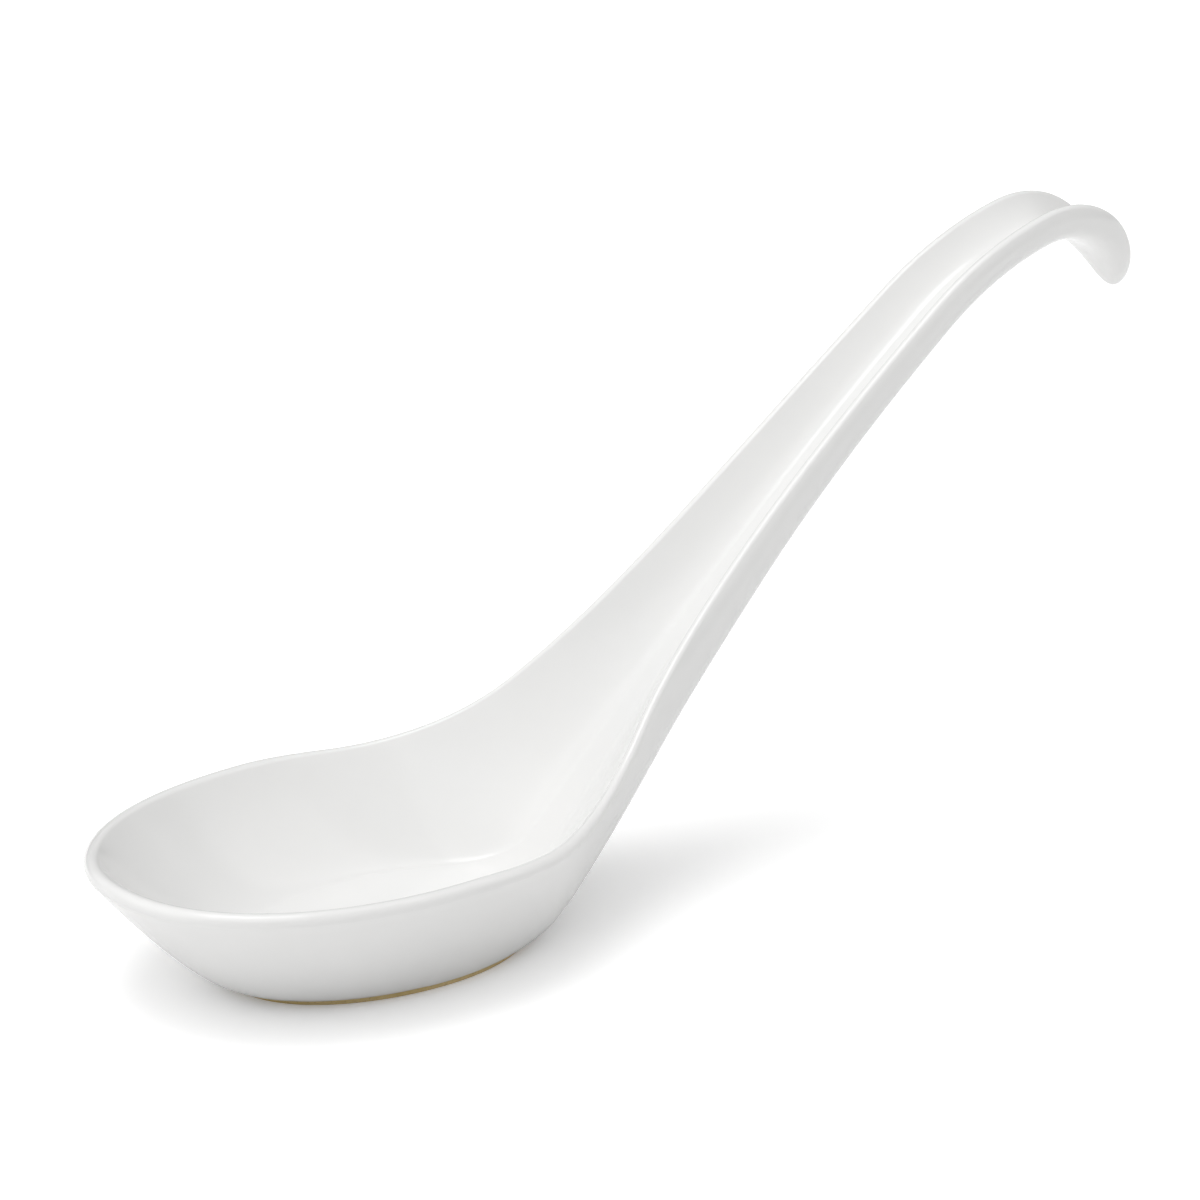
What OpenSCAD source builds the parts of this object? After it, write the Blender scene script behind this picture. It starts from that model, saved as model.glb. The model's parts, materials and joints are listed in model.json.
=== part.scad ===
// White soup spoon with a bare flat foot, a channelled handle and a hook at the handle's end.
// The table is z = 0, the handle runs towards +X, and the origin lies under the bowl's widest place.
// One section of the wall is carried round the bowl's front, then along the rim line to the hook's end.

/* [Bowl] */
// Width over the walls at the rim
bowl_width = 50.5; // [42:0.5:60]
// Length from the widest place forward to the tip
bowl_front = 35.8; // [28:0.2:46]
// Height of the wall from the flat bottom up to the lip
bowl_depth = 15.7; // [13:0.1:22]
// Fullness of the front's outline, where 2 is an ellipse
front_fullness = 2.15; // [1.9:0.05:2.6]
// Thickness of the bowl's wall and of the round lip on its edge
wall = 2.2; // [1.6:0.1:3]
// Thickness of the bowl's floor
floor_thickness = 4; // [2.5:0.1:5.5]
// Distance from the rim in to the wall's lower bend at the sides
side_lean = 10.4; // [7:0.2:13]
// Distance from the rim in to the wall's lower bend at the tip
tip_lean = 13; // [7:0.5:15]
// Distance from the lower bend in to the flat bottom at the sides
side_round = 0.4; // [0.2:0.1:3]
// Distance from the lower bend in to the flat bottom at the tip
tip_round = 4.6; // [3:0.2:10]
// Distance from the bowl's widest place back to the flat bottom's
flat_shift = 4.4; // [2:0.2:7]
// Distance from the flat bottom's edge in to the edge of the level floor, at the sides
floor_inset = 3; // [1:0.2:5]
// Length from the widest place back to the point of the level floor
floor_back = 30; // [25:0.5:36]
// Distance from the level floor's edge out to the inside's lower bend, at the heel
inner_round = 2; // [0.8:0.1:4]
// Length of the flat bottom past the start of the heel's bend
oval_lap = 3.3; // [1:0.1:7]

/* [Foot] */
// Height of the bare foot under the bowl
foot_height = 0.8; // [0.5:0.1:2]
// Distance from the flat bottom's edge in to the foot's edge, at its two ends
foot_end_inset = 0.3; // [0.1:0.1:2]
// Distance from the flat bottom's edge in to the foot's edge, at its sides
foot_side_inset = 0.3; // [0.2:0.1:2]

/* [Handle] */
// Radius of the bend at the heel, between the flat bottom and the handle's back
heel_radius = 6; // [4:0.5:10]
// Softness of the bend inside the heel, where the bowl's floor meets the ramp
inner_heel = 4; // [1:0.5:6]
// Length of level rim behind the widest place
level_run = 12.6; // [8:0.2:20]
// Radius of the rim line where it turns up into the handle
rise_radius = 34.7; // [28:0.1:55]
// Slope of the handle where it leaves the bowl, in degrees
rise_angle = 40.3; // [33:0.1:47]
// Length of the slightly bowed handle, from the bowl to the bend
handle_run = 71.3; // [50:0.1:95]
// Turn of the bowed handle along its length, in degrees
handle_bow = 5.6; // [2:0.1:10]
// Width of the handle over its walls
handle_width = 9.5; // [8:0.1:15]
// Thickness of the handle under its channel
handle_floor = 1.6; // [1.6:0.1:2.6]
// Thickness of the round lips along the handle
handle_lip = 1.4; // [1:0.1:2]
// Width between the lower bends inside the handle's channel
hollow_width = 3; // [2:0.2:8]
// Width of the flat along the middle of the channel
channel_flat = 1; // [0.4:0.2:3]
// Length behind the widest place over which the bowl loses half its extra width
taper_run = 32.4; // [24:0.2:40]
// Sharpness of the change from the bowl's width to the handle's
taper_power = 2.6; // [2:0.1:3.5]
// Depth of the channel where the handle leaves the bowl
root_channel = 7.2; // [5:0.1:8]
// Width of the flat along the handle's back
back_flat = 2.2; // [1:0.2:5]
// Width over the lower bends of the handle's walls
back_width = 12.7; // [9:0.1:14]
// Length over which the wall changes from the bowl's lean to the handle's
lean_run = 52; // [40:1:70]

/* [Hook] */
// Radius of the rim line where the handle bends over
bend_radius = 56; // [38:1:70]
// Turn of that bend, in degrees
bend_angle = 21.9; // [18:0.1:32]
// Radius of the rim line round the hook
hook_radius = 16.4; // [10:0.2:20]
// Turn of the hook, in degrees
hook_angle = 92; // [65:1:108]
// Width of the hook over its walls
hook_width = 9.5; // [8:0.1:15]
// Depth of the channel along the hook
hook_channel = 3.1; // [0.6:0.1:4]
// Length of the hook's rounded end
end_round = 19.5; // [9:0.5:24]

/* [Hidden] */
glaze_colour = [0.95, 0.95, 0.94];
clay_colour = [0.66, 0.54, 0.34];

// Half-width of the rim, and of the flat bottom with its reach in front
rim_half = bowl_width / 2;
flat_half = rim_half - side_lean - side_round;
flat_front = bowl_front - tip_lean - tip_round;
floor_half = flat_half - floor_inset;

// Depths of the outside along the handle, which are its channel's depths and its floor together
root_depth = handle_floor + root_channel;
end_depth = handle_floor + hook_channel;

// Steps round the bowl's front, along each run of the rim line, and round one half of the wall's section
front_steps = 18;
run_steps = [6, 22, 14, 10, 16];
wall_steps = 8;
lip_steps = 6;
foot_steps = 48;

// Runs of the rim line from the widest place on: level, rise, handle, bend and hook
turns = [0, rise_angle, -handle_bow, -bend_angle, -hook_angle];
lengths = [
    level_run,
    arc_length(rise_radius, rise_angle),
    handle_run,
    arc_length(bend_radius, bend_angle),
    arc_length(hook_radius, hook_angle)
];
starts = [for (i = [0:5]) total(lengths, i)];
headings = [for (i = [0:5]) total(turns, i)];
corners = [for (i = [0:4]) corner(i)];
function arc_length(radius, angle) = PI * radius * angle / 180;
function total(list, count) = count == 0 ? 0 : list[count - 1] + total(list, count - 1);
function corner(i) = i == 0 ? [0, foot_height + bowl_depth] : corner(i - 1) + run_chord(i - 1, 1);

// Straight line from a run's start to part of the run, seen from the side as [x, z]
function run_chord(i, part) =
    let (turn = turns[i] * part)
    let (arc = lengths[i] * part)
    let (chord = turn == 0 ? arc : arc * sin(turn / 2) / (turn / 2 * PI / 180))
    let (middle = headings[i] + turn / 2)
    chord * [cos(middle), sin(middle)];

// Rim line at part of a run: its point, its heading and its length from the widest place
function rim_at(i, part) = corners[i] + run_chord(i, part);
function heading_at(i, part) = headings[i] + turns[i] * part;
function length_at(i, part) = starts[i] + lengths[i] * part;
function square_to(heading) = [-sin(heading), cos(heading)];
function eased(share) = let (t = max(0, min(1, share))) t * t * (3 - 2 * t);

// The outside gets shallower from the handle's root to the start of the hook
shallow_run = lengths[2] + lengths[3];
function outside_depth(length) =
    let (left = max(0, 1 - (length - starts[2]) / shallow_run))
    end_depth + (root_depth - end_depth) * left * left;

// Back line below the rise: the heel's bend, then a straight ramp that meets the handle's back smoothly
root = corners[2] - root_depth * square_to(headings[2]);
root_height = root[1] - foot_height;
ramp_angle = headings[2] + atan(2 * (root_depth - end_depth) / shallow_run);
heel_tangent = heel_radius * tan(ramp_angle / 2);
heel_start = [root[0] - root_height / tan(ramp_angle) - heel_tangent, foot_height];
heel_arc = arc_length(heel_radius, ramp_angle);
heel_and_ramp = heel_arc + root_height / sin(ramp_angle) - heel_tangent;
function heel_bend(turn) = heel_start + heel_radius * [sin(turn), 1 - cos(turn)];
function heel_at(length) =
    length < heel_arc
        ? heel_bend(ramp_angle * length / heel_arc)
        : heel_bend(ramp_angle) + (length - heel_arc) * [cos(ramp_angle), sin(ramp_angle)];

// Back line under the rim line's point at part of a run, which reaches the heel at the pace it goes on with
slowing = 1 - heel_and_ramp / lengths[1] * level_run / heel_start[0];
function back_at(i, part) =
    i == 0 ? [heel_start[0] * part * (1 + slowing * (1 - part)), foot_height] :
    i == 1 ? heel_at(heel_and_ramp * part) :
    rim_at(i, part) - outside_depth(length_at(i, part)) * square_to(heading_at(i, part));

// Flat bottom: half an oval in front of its own widest place and half a shorter one behind it
flat_back = heel_start[0] + oval_lap;
oval_front = flat_front + flat_shift;
oval_back = flat_back - flat_shift;
function oval_width(x) =
    let (share = (x - flat_shift) / (x > flat_shift ? oval_back : oval_front))
    flat_half * sqrt(max(0, 1 - share * share));
function oval_reach(angle) =
    let (square = pow(cos(angle) / oval_front, 2) + pow(sin(angle) / flat_half, 2))
    let (shift = flat_shift * cos(angle) / pow(oval_front, 2))
    (sqrt(shift * shift + square * (1 - pow(flat_shift / oval_front, 2))) - shift) / square;

// Level floor inside: the same oval in front, and two curves behind that meet in a point
function floor_oval(x) =
    let (share = (x - flat_shift) / (floor_back - flat_shift))
    x < flat_shift ? oval_width(x) * floor_half / flat_half : floor_half * max(0, 1 - share * share);

// Half-widths of the rim, of the flats under and inside it and of the wall's lower bend
function slim_width(length) =
    (handle_width + (hook_width - handle_width) * eased((length - starts[2]) / shallow_run)) / 2;
function rim_width(length) =
    let (slim = slim_width(length))
    slim + (rim_half - slim) / (1 + pow(length / taper_run, taper_power));
function joined(a, b) = pow(pow(a, 4) + pow(b, 4), 1 / 4);
function flat_at(half, x) = joined(oval_width(x), half * back_flat / handle_width);
function floor_width(half, x) = joined(floor_oval(x), half * channel_flat / handle_width);
function bend_at(half, length) =
    let (mix = eased((length - level_run) / lean_run))
    half * ((1 - side_lean / rim_half) * (1 - mix) + back_width / handle_width * mix);

// The bowl's lip changes to the handle's by the handle's root
function changed(length) = eased(length / starts[2]);
function lip_at(length) = wall + (handle_lip - wall) * changed(length);

// Inside along the middle: the level floor, then a ramp beside the back line that meets the handle's floor
inner_root = root + handle_floor * square_to(headings[2]);
function blended_max(a, b, blend) = max(a, b) + pow(max(0, blend - abs(a - b)), 2) / (4 * blend);
function floor_at(i, back, up) =
    let (level = (foot_height + floor_thickness - back[1]) / up[1])
    let (square = square_to(ramp_angle))
    let (ramp = (inner_root - back) * square / (up * square))
    i > 1 ? handle_floor : blended_max(level, ramp, inner_heel);

// The section shrinks evenly to nothing round the hook's end
function end_scale(length) =
    let (gone = max(0, 1 - (starts[5] - length) / end_round))
    sqrt(max(0, 1 - gone * gone));

// Direction square to the wall, towards its inside
function inward_of(rim, bend) =
    let (up = (rim - bend) / norm(rim - bend))
    [-up[1], up[0]];

// Lower bend of an inside that runs beside the outside: its distance from the middle plane
function beside(rim, bend, lip, floor) =
    let (inward = inward_of(rim, bend))
    bend[0] + lip * inward[0] + (floor - lip * inward[1]) * inward[1] / -inward[0];

// The inside's lower bend goes over to the floor's edge by the heel, then to the channel's by the root
function hollow_at(half, length, outer, inner) =
    let (heel_mix = eased(length / level_run))
    let (root_mix = eased((length - level_run) / lengths[1]))
    let (channel = half * hollow_width / handle_width)
    (outer * (1 - heel_mix) + inner * heel_mix) * (1 - root_mix) + channel * root_mix;

// Half of the wall's section as [across, up], from under the middle, round the lip and down to the floor
function curve(from, control, to, t) = (1 - t) * (1 - t) * from + 2 * t * (1 - t) * control + t * t * to;
function half_section(rim, bend, flat, hollow, inner_flat, lip) =
    let (middle = rim + lip / 2 * inward_of(rim, bend))
    let (reach = hollow - middle)
    let (outer_turn = atan2(rim[1] - middle[1], rim[0] - middle[0]))
    let (inner_turn = 360 + atan2(reach[1], reach[0]) - acos(lip / 2 / norm(reach)))
    let (lip_points = [
        for (k = [1:lip_steps])
            let (turn = outer_turn + (inner_turn - outer_turn) * k / lip_steps)
            middle + lip / 2 * [cos(turn), sin(turn)]
    ])
    [
        [0, 0],
        for (k = [0:wall_steps]) curve(flat, bend, rim, k / wall_steps),
        each lip_points,
        for (k = [1:wall_steps]) curve(lip_points[lip_steps - 1], hollow, inner_flat, k / wall_steps),
        [0, hollow[1]]
    ];

// A half-section and its mirror image make a closed ring, which shares the two points on the middle plane
half_count = 2 * wall_steps + lip_steps + 3;
ring_count = 2 * half_count - 2;
function ring(half) = concat(half, [for (k = [half_count - 2:-1:1]) [half[k][0], -half[k][1], half[k][2]]]);

// Rings round the front, both halves turned about the upright line through the widest place
function outline(angle, front, side, power) =
    pow(pow(cos(angle) / front, power) + pow(sin(angle) / side, power), -1 / power);
function front_ring(angle) =
    let (rim = outline(angle, bowl_front, rim_half, front_fullness))
    let (flat = oval_reach(angle))
    let (bend = outline(angle, bowl_front - tip_lean, rim_half - side_lean, 2))
    let (edge = [rim, bowl_depth])
    let (hollow = [beside(edge, [bend, 0], wall, floor_thickness), floor_thickness])
    let (inner_flat = [flat * floor_half / flat_half, floor_thickness])
    ring([
        for (p = half_section(edge, [bend, 0], [flat, 0], hollow, inner_flat, wall))
            [-p[0] * cos(angle), p[0] * sin(angle), foot_height + p[1]]
    ]);
front_rings = [for (k = [0:front_steps - 1]) front_ring(90 * k / front_steps)];

// Rings along the rim line, each in the plane through its rim point and its back point
function run_ring(i, part) =
    let (length = length_at(i, part))
    let (back = back_at(i, part))
    let (depth = norm(rim_at(i, part) - back))
    let (up = (rim_at(i, part) - back) / depth)
    let (half = rim_width(length))
    let (bend = [bend_at(half, length), 0])
    let (flat = [flat_at(half, back[0]), 0])
    let (edge = [half, depth])
    let (lip = lip_at(length))
    let (floor = floor_at(i, back, up))
    let (inner_flat = [floor_width(half, back[0] + floor * up[0]), floor])
    let (outer_bend = beside(edge, bend, lip, floor))
    let (hollow = [hollow_at(half, length, outer_bend, inner_flat[0] + inner_round), floor])
    let (section = half_section(edge, bend, flat, hollow, inner_flat, lip))
    let (middle = [0, depth / 2])
    ring([
        for (p = section)
            let (q = middle + end_scale(length) * (p - middle))
            [back[0] + q[1] * up[0], q[0], back[1] + q[1] * up[1]]
    ]);
function run_rings(i, first = 0) = [for (k = [first:run_steps[i]]) run_ring(i, k / run_steps[i])];

// Rings round the hook lie closer together towards its end, and stop just short of it
hook_rings = [
    for (k = [1:run_steps[4] - 1])
        let (left = 1 - k / run_steps[4])
        run_ring(4, 1 - left * left)
];

// Skin between rings: at the tip, and under the widest place, the points that meet are one point
function point_at(i, k, front) =
    i < front && (k == 0 || k == half_count - 1) ? front * ring_count + k :
    i == 0 && front > 0 && k >= half_count ? ring_count - k :
    i * ring_count + k;
function is_triangle(f) = f[0] != f[1] && f[1] != f[2] && f[2] != f[0];
function skin(count, front) = [
    for (i = [0:count - 2])
        for (k = [0:ring_count - 1])
            let (next = (k + 1) % ring_count)
            let (a = point_at(i, k, front))
            let (b = point_at(i + 1, k, front))
            let (c = point_at(i + 1, next, front))
            let (d = point_at(i, next, front))
            for (f = [[a, b, c], [a, c, d]])
                if (is_triangle(f)) f
];

// Flat end over one ring, laid in rungs from the outside to the inside
function on_half(k, mirrored) = mirrored && k > 0 ? ring_count - k : k;
function rungs(first, turned) = [
    for (mirrored = [false, true])
        for (k = [0:(half_count - 3) / 2])
            let (a = on_half(k, mirrored))
            let (b = on_half(k + 1, mirrored))
            let (c = on_half(half_count - 2 - k, mirrored))
            let (d = k == 0 ? half_count - 1 : on_half(half_count - 1 - k, mirrored))
            for (f = [[a, b, c], [a, c, d]])
                if (is_triangle(f)) [for (n = (mirrored == turned ? f : [f[2], f[1], f[0]])) first + n]
];

module shell(rings, front = 0) {
    last = (len(rings) - 1) * ring_count;
    polyhedron(
        points = [for (r = rings) each r],
        faces = concat(
            skin(len(rings), front),
            front > 0 ? [] : rungs(0, false),
            rungs(last, true)
        )
    );
}

module bowl() {
    color(glaze_colour)
        shell(concat(front_rings, run_rings(0), run_rings(1, 1)), front_steps);
}

module handle() {
    color(glaze_colour)
        shell(run_rings(2));
}

module hook() {
    color(glaze_colour)
        shell(concat(run_rings(3), hook_rings));
}

// The foot is the flat bottom's oval, drawn in all round
module foot() {
    color(clay_colour)
        linear_extrude(foot_height)
            polygon([
                for (k = [0:foot_steps - 1])
                    let (angle = 360 * k / foot_steps)
                    let (reach = (cos(angle) > 0 ? oval_back : oval_front) - foot_end_inset)
                    [flat_shift + reach * cos(angle), (flat_half - foot_side_inset) * sin(angle)]
            ]);
}

bowl();
handle();
hook();
foot();
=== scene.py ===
# %% [markdown]
# # A white soup spoon
# This lesson dresses a finished model of a ceramic soup spoon and sets it in a photo studio.
# The model arrives as four plain solids: the bowl, the handle, the hook and the foot. They fix every size.
# On the real spoon the first three are one fired piece under one glaze, so one smooth mesh takes their place.

# %% Load the solids and keep their box
import json
import math
import bpy
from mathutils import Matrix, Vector

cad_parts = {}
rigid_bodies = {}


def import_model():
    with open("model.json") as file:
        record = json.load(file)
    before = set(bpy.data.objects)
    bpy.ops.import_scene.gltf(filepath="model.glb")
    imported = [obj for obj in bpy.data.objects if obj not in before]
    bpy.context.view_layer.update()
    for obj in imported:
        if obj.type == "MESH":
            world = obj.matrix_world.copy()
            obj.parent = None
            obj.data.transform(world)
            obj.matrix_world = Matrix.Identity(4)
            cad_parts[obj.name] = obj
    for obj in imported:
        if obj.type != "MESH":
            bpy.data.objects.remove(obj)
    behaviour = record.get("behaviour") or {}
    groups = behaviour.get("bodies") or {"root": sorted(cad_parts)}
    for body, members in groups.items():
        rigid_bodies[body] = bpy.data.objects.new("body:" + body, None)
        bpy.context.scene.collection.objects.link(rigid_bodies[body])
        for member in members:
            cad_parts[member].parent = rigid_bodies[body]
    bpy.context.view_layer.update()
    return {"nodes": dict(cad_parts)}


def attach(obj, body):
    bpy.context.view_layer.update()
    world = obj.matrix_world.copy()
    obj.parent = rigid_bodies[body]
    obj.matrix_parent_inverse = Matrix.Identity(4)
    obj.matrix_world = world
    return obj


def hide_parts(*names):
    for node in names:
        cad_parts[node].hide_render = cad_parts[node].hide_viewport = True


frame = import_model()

MM = 0.001
print("solids:", sorted(frame["nodes"]))

# %% [markdown]
# ## Camera
# The picture was taken with a long lens from a little above the table, with the tip of the bowl nearest.
# An aim point, a compass angle, a height angle and a distance are enough to place such a camera.
# `to_track_quat` then turns it: a camera looks along its own -Z, with +Y as its up.

# %% Place the camera
AIM = Vector((38.813, 0, 38.282)) * MM
COMPASS = math.radians(-39.588)
HEIGHT = math.radians(19.48)
DISTANCE = 665.953 * MM
LENS_ANGLE = math.radians(13)

backwards = Vector((
    math.sin(COMPASS) * math.cos(HEIGHT),
    -math.cos(COMPASS) * math.cos(HEIGHT),
    math.sin(HEIGHT),
))
bpy.ops.object.camera_add(location=AIM + DISTANCE * backwards)
camera = bpy.context.object
camera.name = "camera"
camera.rotation_euler = (-backwards).to_track_quat("-Z", "Y").to_euler()
camera.data.angle = LENS_ANGLE
bpy.context.scene.camera = camera
print("camera at", [round(v, 3) for v in camera.location])

# %% [markdown]
# ## Sizes of the spoon
# A potter would draw the spoon from the side and from above, and then a few sections across it.
# The numbers here are that drawing, in millimetres, and they are the ones the solids were built from.
# The rim line is a chain of runs: level along the bowl, up in an arc, along the handle,
# over a bend and round the hook.

# %% Name the sizes of the bowl, the handle and the hook
FOOT_HEIGHT, FOOT_END_INSET, FOOT_SIDE_INSET = 0.8, 0.3, 0.3
BOWL_WIDTH, BOWL_FRONT, BOWL_DEPTH, FRONT_FULLNESS = 50.5, 35.8, 15.7, 2.15
WALL, FLOOR, FLOOR_INSET, FLOOR_BACK, INNER_ROUND = 2.2, 4.0, 3.0, 30.0, 2.0
HANDLE_LIP, HANDLE_FLOOR, HOLLOW_WIDTH, CHANNEL_FLAT = 1.4, 1.6, 3.0, 1.0
SIDE_LEAN, TIP_LEAN, SIDE_ROUND, TIP_ROUND = 10.4, 13.0, 0.4, 4.6
FLAT_SHIFT, OVAL_LAP, HEEL_RADIUS, INNER_HEEL = 4.4, 3.3, 6.0, 4.0
HANDLE_WIDTH, HOOK_WIDTH, TAPER_RUN, TAPER_POWER = 9.5, 9.5, 32.4, 2.6
ROOT_DEPTH, END_DEPTH, END_ROUND = 8.8, 4.7, 19.5
BACK_FLAT, BACK_WIDTH, LEAN_RUN = 2.2, 12.7, 52.0

LEVEL_RUN, HANDLE_RUN = 12.6, 71.3
RISE_RADIUS, BEND_RADIUS, HOOK_RADIUS = 34.7, 56.0, 16.4
RISE_TURN, BOW_TURN = math.radians(40.3), math.radians(5.6)
BEND_TURN, HOOK_TURN = math.radians(21.9), math.radians(92)

# Each run of the rim line: its length and its turn in radians, where up is positive
RUNS = [
    (LEVEL_RUN, 0.0),
    (RISE_RADIUS * RISE_TURN, RISE_TURN),
    (HANDLE_RUN, -BOW_TURN),
    (BEND_RADIUS * BEND_TURN, -BEND_TURN),
    (HOOK_RADIUS * HOOK_TURN, -HOOK_TURN),
]
LAST_RUN = len(RUNS) - 1
STARTS = [sum(run[0] for run in RUNS[:i]) for i in range(len(RUNS) + 1)]
HEADINGS = [sum(run[1] for run in RUNS[:i]) for i in range(len(RUNS) + 1)]
SHALLOW_RUN = RUNS[2][0] + RUNS[3][0]
print("rim line:", round(STARTS[-1], 1), "mm long")

# %% [markdown]
# ## Side view
# Seen from the side, every point is [x, z]. Along an arc, a point is found from the chord to it.
# The back line runs under the rim line: flat, then a bend at the heel, a straight ramp,
# and the handle's back.

# %% Find the rim line and the back line
def eased(share):
    share = max(0.0, min(1.0, share))
    return share * share * (3 - 2 * share)


def chord(i, part):
    length, turn = RUNS[i][0] * part, RUNS[i][1] * part
    straight = length if turn == 0 else length * math.sin(turn / 2) / (turn / 2)
    middle = HEADINGS[i] + turn / 2
    return straight * Vector((math.cos(middle), math.sin(middle)))


corners = [Vector((0, FOOT_HEIGHT + BOWL_DEPTH))]
for i in range(LAST_RUN):
    corners.append(corners[i] + chord(i, 1))


def below(i, part, depth):
    heading = HEADINGS[i] + RUNS[i][1] * part
    return corners[i] + chord(i, part) - depth * Vector((-math.sin(heading), math.cos(heading)))


root = below(2, 0, ROOT_DEPTH)
ramp = HEADINGS[2] + math.atan(2 * (ROOT_DEPTH - END_DEPTH) / SHALLOW_RUN)
heel_tangent = HEEL_RADIUS * math.tan(ramp / 2)
root_rise = root.y - FOOT_HEIGHT
heel_start = Vector((root.x - root_rise / math.tan(ramp) - heel_tangent, FOOT_HEIGHT))
heel_arc = HEEL_RADIUS * ramp
heel_run = heel_arc + root_rise / math.sin(ramp) - heel_tangent


def heel_at(length):
    turn = min(length, heel_arc) / HEEL_RADIUS
    bend = heel_start + HEEL_RADIUS * Vector((math.sin(turn), 1 - math.cos(turn)))
    return bend + max(0, length - heel_arc) * Vector((math.cos(ramp), math.sin(ramp)))


def back_at(i, part):
    if i == 0:
        slowing = 1 - heel_run / RUNS[1][0] * RUNS[0][0] / heel_start.x
        return Vector((heel_start.x * part * (1 + slowing * (1 - part)), FOOT_HEIGHT))
    if i == 1:
        return heel_at(heel_run * part)
    left = max(0, 1 - (STARTS[i] + RUNS[i][0] * part - STARTS[2]) / SHALLOW_RUN)
    return below(i, part, END_DEPTH + (ROOT_DEPTH - END_DEPTH) * left * left)


inner_root = below(2, 0, ROOT_DEPTH - HANDLE_FLOOR)
ramp_square = Vector((-math.sin(ramp), math.cos(ramp)))


def floor_at(i, back, up):
    if i > 1:
        return HANDLE_FLOOR
    level = (FOOT_HEIGHT + FLOOR - back.y) / up.y
    slope = (inner_root - back).dot(ramp_square) / up.dot(ramp_square)
    return max(level, slope) + max(0, INNER_HEEL - abs(level - slope)) ** 2 / (4 * INNER_HEEL)


print("the heel bends up from x =", round(heel_start.x, 2), "mm")

# %% [markdown]
# ## Section across the spoon
# Everywhere along the spoon the wall has the same kind of section: flat underneath, a leaning side,
# a half-round lip and a hollow inside. Only half of it is drawn, because the other half is its mirror image.
# A curve with one control point gives the outside, and another gives the inside, from lip to floor.
# Steps crowd towards the tight bends, so that the gloss later runs round them smoothly.

# %% Draw half a section
WALL_STEPS = 56
LIP_STEPS = 28
HALF_POINTS = 2 * WALL_STEPS + LIP_STEPS + 3


def curve(start, control, end, t):
    return (1 - t) * (1 - t) * start + 2 * t * (1 - t) * control + t * t * end


def inward_of(rim, bend):
    up = (rim - bend).normalized()
    return Vector((-up.y, up.x))


def beside(rim, bend, lip, floor):
    inward = inward_of(rim, bend)
    return bend.x + lip * inward.x - (floor - lip * inward.y) * inward.y / inward.x


def half_section(rim, bend, flat, hollow, inner_flat, lip):
    middle = rim + lip / 2 * inward_of(rim, bend)
    reach = hollow - middle
    first = math.atan2(rim.y - middle.y, rim.x - middle.x)
    last = math.tau + math.atan2(reach.y, reach.x) - math.acos(lip / 2 / reach.length)
    turns = [first + (last - first) * k / LIP_STEPS for k in range(1, LIP_STEPS + 1)]
    lip_points = [middle + lip / 2 * Vector((math.cos(turn), math.sin(turn))) for turn in turns]
    steps = [k / WALL_STEPS for k in range(WALL_STEPS + 1)]
    points = [Vector((0, 0))]
    points += [curve(flat, bend, rim, t * t) for t in steps]
    points += lip_points
    points += [curve(lip_points[-1], hollow, inner_flat, 1 - (1 - t) ** 2) for t in steps[1:]]
    points.append(Vector((0, hollow.y)))
    return points


print("points on half a section:", HALF_POINTS)

# %% [markdown]
# ## Rings round the front and along the handle
# Round the front of the bowl the section turns about an upright line, like a hand sweeping round a plate.
# Behind that it travels along the rim line, and at the hook's end it shrinks to a point,
# which closes the end.

# %% Work out the rings
RIM_HALF = BOWL_WIDTH / 2
FLAT_HALF = RIM_HALF - SIDE_LEAN - SIDE_ROUND
OVAL_FRONT = BOWL_FRONT - TIP_LEAN - TIP_ROUND + FLAT_SHIFT
OVAL_BACK = heel_start.x + OVAL_LAP - FLAT_SHIFT
FLOOR_HALF = FLAT_HALF - FLOOR_INSET


def outline(angle, front, side, power):
    return ((math.cos(angle) / front) ** power + (math.sin(angle) / side) ** power) ** (-1 / power)


def oval_reach(angle):
    square = (math.cos(angle) / OVAL_FRONT) ** 2 + (math.sin(angle) / FLAT_HALF) ** 2
    shift = FLAT_SHIFT * math.cos(angle) / OVAL_FRONT ** 2
    return (math.sqrt(shift * shift + square * (1 - (FLAT_SHIFT / OVAL_FRONT) ** 2)) - shift) / square


def oval_width(x):
    share = (x - FLAT_SHIFT) / (OVAL_BACK if x > FLAT_SHIFT else OVAL_FRONT)
    return FLAT_HALF * math.sqrt(max(0, 1 - share * share))


def floor_oval(x):
    if x < FLAT_SHIFT:
        return oval_width(x) * FLOOR_HALF / FLAT_HALF
    return FLOOR_HALF * max(0, 1 - ((x - FLAT_SHIFT) / (FLOOR_BACK - FLAT_SHIFT)) ** 2)


def joined(a, b):
    return (a ** 4 + b ** 4) ** 0.25


def front_ring(angle):
    rim = Vector((outline(angle, BOWL_FRONT, RIM_HALF, FRONT_FULLNESS), BOWL_DEPTH))
    bend = Vector((outline(angle, BOWL_FRONT - TIP_LEAN, RIM_HALF - SIDE_LEAN, 2), 0))
    flat = oval_reach(angle)
    hollow = Vector((beside(rim, bend, WALL, FLOOR), FLOOR))
    inner_flat = Vector((flat * FLOOR_HALF / FLAT_HALF, FLOOR))
    section = half_section(rim, bend, Vector((flat, 0)), hollow, inner_flat, WALL)
    return [Vector((-p.x * math.cos(angle), p.x * math.sin(angle), FOOT_HEIGHT + p.y)) for p in section]


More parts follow.
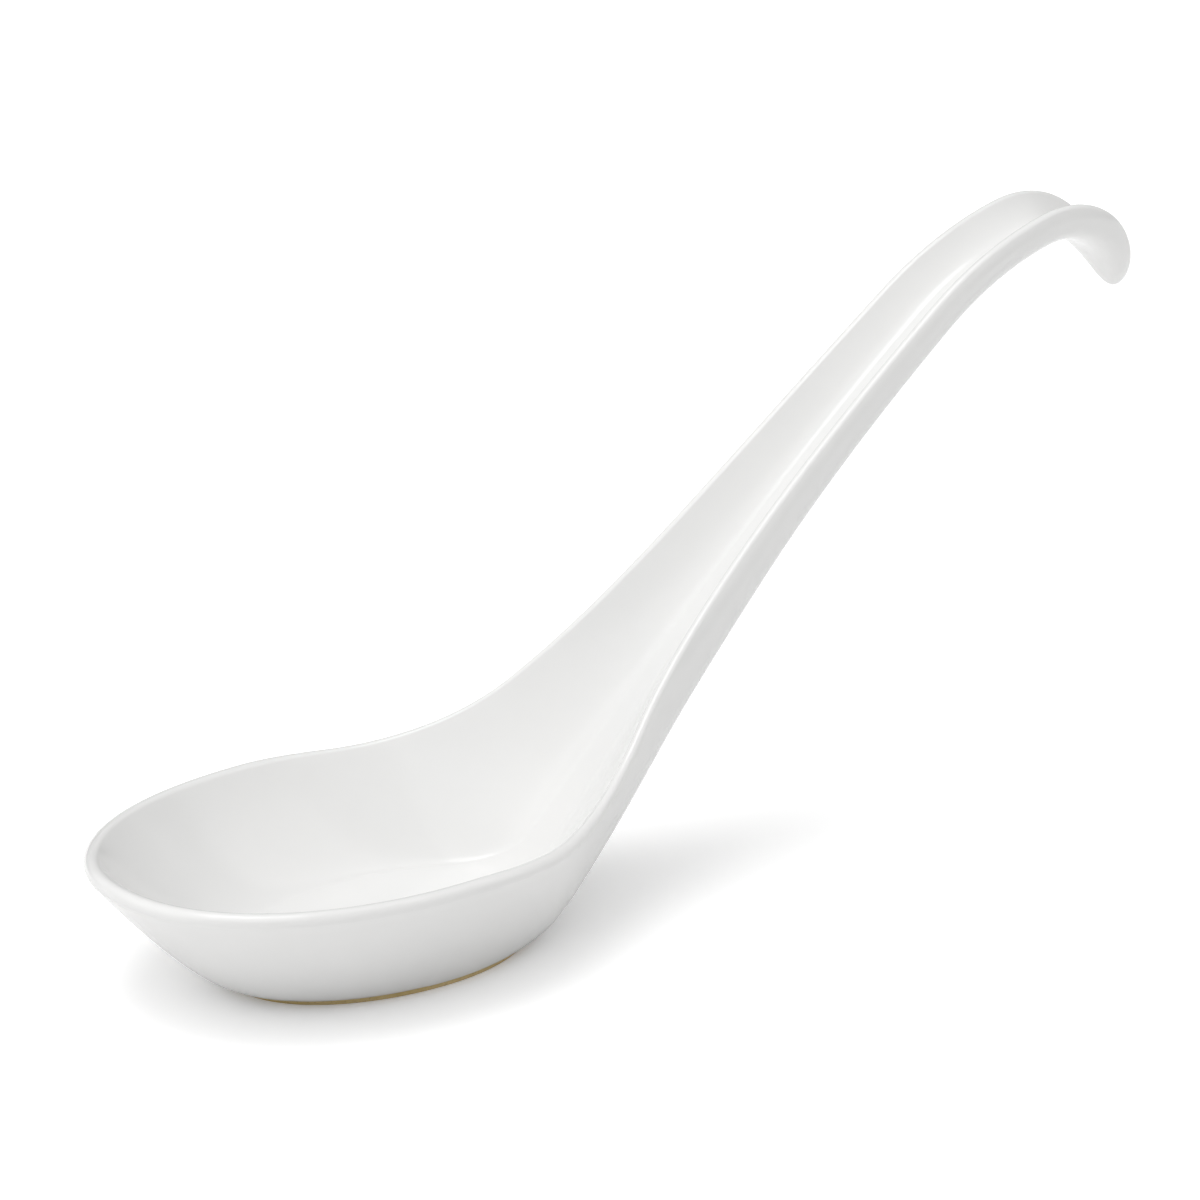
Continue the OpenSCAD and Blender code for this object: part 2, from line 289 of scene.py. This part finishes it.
def run_ring(i, part):
    length = STARTS[i] + RUNS[i][0] * part
    back = back_at(i, part)
    rim = corners[i] + chord(i, part)
    depth = (rim - back).length
    up = (rim - back) / depth
    slim = (HANDLE_WIDTH + (HOOK_WIDTH - HANDLE_WIDTH) * eased((length - STARTS[2]) / SHALLOW_RUN)) / 2
    half = slim + (RIM_HALF - slim) / (1 + (length / TAPER_RUN) ** TAPER_POWER)
    flat = joined(oval_width(back.x), half * BACK_FLAT / HANDLE_WIDTH)
    lean = eased((length - RUNS[0][0]) / LEAN_RUN)
    bend = Vector((half * ((1 - SIDE_LEAN / RIM_HALF) * (1 - lean) + BACK_WIDTH / HANDLE_WIDTH * lean), 0))
    changed = eased(length / STARTS[2])
    lip = WALL + (HANDLE_LIP - WALL) * changed
    floor = floor_at(i, back, up)
    edge = Vector((half, depth))
    level = joined(floor_oval(back.x + floor * up.x), half * CHANNEL_FLAT / HANDLE_WIDTH)
    inner_flat = Vector((level, floor))
    heel_mix = eased(length / RUNS[0][0])
    root_mix = eased((length - RUNS[0][0]) / RUNS[1][0])
    bowl_bend = beside(edge, bend, lip, floor) * (1 - heel_mix) + (inner_flat.x + INNER_ROUND) * heel_mix
    channel = half * HOLLOW_WIDTH / HANDLE_WIDTH
    hollow = Vector((bowl_bend * (1 - root_mix) + channel * root_mix, floor))
    section = half_section(edge, bend, Vector((flat, 0)), hollow, inner_flat, lip)
    gone = max(0, 1 - (STARTS[-1] - length) / END_ROUND)
    size = math.sqrt(max(0, 1 - gone * gone))
    middle = Vector((0, depth / 2))
    moved = [middle + size * (p - middle) for p in section]
    return [Vector((back.x + p.y * up.x, p.x, back.y + p.y * up.y)) for p in moved]


FRONT_STEPS = 48
RUN_STEPS = [12, 90, 40, 24, 56]
rings = [front_ring(math.pi / 2 * k / FRONT_STEPS) for k in range(FRONT_STEPS)]
rings.append(run_ring(0, 0))
for i, steps in enumerate(RUN_STEPS):
    for k in range(1, steps + 1):
        rings.append(run_ring(i, k / steps if i < LAST_RUN else 1 - (1 - k / steps) ** 2))
print("rings:", len(rings))

# %% [markdown]
# ## Body of the spoon
# A loft like this can't be pulled out of a block with a few extrusions, because its section keeps changing.
# So a flat grid is added, with a row of points for every ring, and each point is moved to its place,
# as if a sheet of clay were wrapped round a core.
# Merging points that meet closes the seam, the tip and the hook's end.

# %% Wrap a grid into the spoon's body
def only(piece):
    bpy.ops.object.select_all(action="DESELECT")
    piece.select_set(True)
    bpy.context.view_layer.objects.active = piece


bpy.ops.object.select_all(action="DESELECT")
RING_POINTS = 2 * HALF_POINTS - 2
bpy.ops.mesh.primitive_grid_add(x_subdivisions=RING_POINTS, y_subdivisions=len(rings) - 1, size=1)
spoon = bpy.context.object
spoon.name = "spoon_body"
across = RING_POINTS + 1
for row, ring in enumerate(rings):
    mirrored = [Vector((p.x, -p.y, p.z)) for p in ring[-2:0:-1]]
    for column, point in enumerate(ring + mirrored + ring[:1]):
        spoon.data.vertices[row * across + column].co = point * MM

only(spoon)
bpy.ops.object.mode_set(mode="EDIT")
bpy.ops.mesh.select_all(action="SELECT")
bpy.ops.mesh.remove_doubles(threshold=0.001 * MM)
bpy.ops.mesh.normals_make_consistent(inside=False)
bpy.ops.object.mode_set(mode="OBJECT")
bpy.ops.object.shade_smooth()
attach(spoon, "root")
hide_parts("bowl", "handle", "hook")
print("body:", len(spoon.data.vertices), "points,", len(spoon.data.polygons), "faces")

# %% [markdown]
# ## Foot
# The spoon stands on a bare oval. The glaze was wiped off there before firing, so that it would not stick
# in the kiln.
# A filled circle stretched to the oval and extruded gives the solid. A bevel wears its edge a little,
# because a bare clay edge is never sharp.

# %% Model the bare foot
FOOT_POINTS = 128
FOOT_BEVEL = 0.22

bpy.ops.object.select_all(action="DESELECT")
bpy.ops.mesh.primitive_circle_add(vertices=FOOT_POINTS, radius=1, fill_type="NGON")
foot = bpy.context.object
foot.name = "bare_foot"
for v in foot.data.vertices:
    reach = (OVAL_BACK if v.co.x > 0 else OVAL_FRONT) - FOOT_END_INSET
    v.co = Vector((FLAT_SHIFT + reach * v.co.x, (FLAT_HALF - FOOT_SIDE_INSET) * v.co.y, 0)) * MM

only(foot)
bpy.ops.object.mode_set(mode="EDIT")
bpy.ops.mesh.select_all(action="SELECT")
bpy.ops.mesh.extrude_region_move(TRANSFORM_OT_translate={"value": (0, 0, FOOT_HEIGHT * MM)})
bpy.ops.mesh.select_all(action="SELECT")
bpy.ops.mesh.normals_make_consistent(inside=False)
bpy.ops.object.mode_set(mode="OBJECT")
worn = foot.modifiers.new("worn_edge", "BEVEL")
worn.width = FOOT_BEVEL * MM
worn.segments = 3
worn.limit_method = "ANGLE"
bpy.ops.object.modifier_apply(modifier="worn_edge")
bpy.ops.object.shade_smooth_by_angle(angle=math.radians(40))
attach(foot, "root")
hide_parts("foot")
print("foot:", len(foot.data.polygons), "faces")

# %% [markdown]
# ## Writing materials as sums
# A material is a tree of nodes, and long trees are hard to read in code.
# This small class holds one socket. A sum on it adds a Math node, and `node` adds any other node.

# %% Wrap a socket
class Wire:
    def __init__(self, tree, socket):
        self.tree = tree
        self.socket = socket

    def node(self, kind, settings=None, inputs=None, output=0):
        made = self.tree.nodes.new(kind)
        for name, value in (settings or {}).items():
            setattr(made, name, value)
        for name, value in (inputs or {}).items():
            self.feed(made.inputs[name], value)
        return Wire(self.tree, made.outputs[output])

    def feed(self, socket, value):
        if isinstance(value, Wire):
            self.tree.links.new(value.socket, socket)
        else:
            socket.default_value = value

    def maths(self, operation, a, b):
        return self.node("ShaderNodeMath", {"operation": operation}, {0: a, 1: b})

    def __add__(self, other):
        return self.maths("ADD", self, other)

    def __sub__(self, other):
        return self.maths("SUBTRACT", self, other)

    def __rsub__(self, other):
        return self.maths("SUBTRACT", other, self)

    def __mul__(self, other):
        return self.maths("MULTIPLY", self, other)

    __radd__ = __add__
    __rmul__ = __mul__

    def between(self, low, high):
        return self.node("ShaderNodeMapRange", {}, {"Value": self, "From Min": low, "From Max": high})

    def mixed(self, first, second):
        inputs = {"Factor": self, 6: first, 7: second}
        return self.node("ShaderNodeMix", {"data_type": "RGBA"}, inputs, 2)


def new_material(name):
    material = bpy.data.materials.new(name)
    material.use_nodes = True
    tree = material.node_tree
    shader = tree.nodes["Principled BSDF"]
    place = tree.nodes.new("ShaderNodeTexCoord")
    return material, shader, Wire(tree, place.outputs["Object"])


def dress(piece, material):
    piece.data.materials.clear()
    piece.data.materials.append(material)


# %% [markdown]
# ## Glaze
# A clear glaze over a white body looks plain, and yet it is never one flat white.
# It is a little warmer where it lies thin, it has a slow unevenness that only shows in reflections,
# and a few pin-sized specks come through. All of it is faint, because the real spoon is a clean white.

# %% Make the white glaze
glaze, shader, place = new_material("white_glaze")
cloud = place.node("ShaderNodeTexNoise", {}, {"Vector": place, "Scale": 55.0, "Detail": 3.0})
thin = cloud.between(0.35, 0.65)
body = thin.mixed((0.762, 0.762, 0.755, 1), (0.776, 0.774, 0.766, 1))
grain = place.node("ShaderNodeTexNoise", {}, {"Vector": place, "Scale": 900.0, "Detail": 1.0})
speck = grain.between(0.8, 0.86)
colour = (speck * 0.12).mixed(body, (0.7, 0.66, 0.6, 1))
place.feed(shader.inputs["Base Color"], colour)
place.feed(shader.inputs["Roughness"], 0.13 + 0.05 * cloud)
wave = place.node("ShaderNodeTexNoise", {}, {"Vector": place, "Scale": 140.0, "Detail": 2.0})
swell = place.node("ShaderNodeBump", {}, {"Strength": 0.06, "Distance": 0.0002, "Height": wave})
place.feed(shader.inputs["Normal"], swell)
shader.inputs["IOR"].default_value = 1.5
dress(spoon, glaze)
print("glaze:", len(glaze.node_tree.nodes), "nodes")

# %% [markdown]
# ## Bare clay
# Unglazed fired clay is matte and sandy. Two sizes of grain colour it, dark grains sit among pale ones,
# and the same grains make it rough to the touch.

# %% Make the bare clay
clay, shader, place = new_material("bare_clay")
patch = place.node("ShaderNodeTexNoise", {}, {"Vector": place, "Scale": 160.0, "Detail": 4.0})
sand = place.node("ShaderNodeTexNoise", {}, {"Vector": place, "Scale": 2600.0, "Detail": 2.0})
warm = patch.between(0.35, 0.65).mixed((0.62, 0.47, 0.21, 1), (0.71, 0.56, 0.29, 1))
dark = sand.between(0.58, 0.68)
place.feed(shader.inputs["Base Color"], (dark * 0.4).mixed(warm, (0.40, 0.29, 0.14, 1)))
place.feed(shader.inputs["Roughness"], 0.78 + 0.15 * patch)
rough = place.node("ShaderNodeBump", {}, {"Strength": 0.5, "Distance": 0.0001, "Height": sand})
place.feed(shader.inputs["Normal"], rough)
dress(foot, clay)
print("clay:", len(clay.node_tree.nodes), "nodes")

# %% [markdown]
# ## Floor and light
# The spoon stands on a white sheet among wide softboxes, the strongest at its left and in front.
# A sun lamp with a wide angle is a softbox that is far away, so its light stays the same all over the spoon.
# The small softbox overhead draws the bright streak in the handle's channel and the line inside the heel.
# The sheet glows a little for the camera alone. That lifts its shadow, as in an overexposed picture.

# %% Lay the floor
FLOOR_SIZE = 6
FLOOR_GLOW = 0.13
bpy.ops.object.select_all(action="DESELECT")
bpy.ops.mesh.primitive_plane_add(size=FLOOR_SIZE, location=(0, 0, 0))
sheet = bpy.context.object
sheet.name = "white_sheet"
paper, shader, place = new_material("white_paper")
ray = place.node("ShaderNodeLightPath")
place.feed(shader.inputs["Base Color"], ray.mixed((0.96, 0.96, 0.96, 1), (1, 1, 1, 1)))
place.feed(shader.inputs["Emission Color"], ray.mixed((0, 0, 0, 1), (1, 1, 1, 1)))
shader.inputs["Emission Strength"].default_value = FLOOR_GLOW
shader.inputs["Roughness"].default_value = 1
shader.inputs["Specular IOR Level"].default_value = 0
dress(sheet, paper)
print("floor:", FLOOR_SIZE, "m wide")

# %% Light the room
ROOM_LIGHT = 0.02
world = bpy.data.worlds.new("pale_room")
bpy.context.scene.world = world
world.use_nodes = True
world.node_tree.nodes["Background"].inputs["Color"].default_value = (1, 1, 1, 1)
world.node_tree.nodes["Background"].inputs["Strength"].default_value = ROOM_LIGHT


def soft_sun(name, strength, spread, towards):
    bpy.ops.object.light_add(type="SUN", location=(0, 0, 1))
    lamp = bpy.context.object
    lamp.name = name
    lamp.data.energy = strength
    lamp.data.angle = math.radians(spread)
    lamp.rotation_euler = Vector(towards).to_track_quat("-Z", "Y").to_euler()


soft_sun("overhead_softbox", 0.62, 32, (0.14, -0.02, -0.99))
soft_sun("left_softbox", 1.14, 90, (0.7, 0, -0.7))
soft_sun("right_softbox", 0.66, 90, (-0.7, 0, -0.7))
soft_sun("front_softbox", 1.16, 100, (0, 0.55, -0.83))
soft_sun("back_left_softbox", 0.95, 90, (0.54, -0.54, -0.64))
bpy.context.scene.view_settings.view_transform = "Standard"
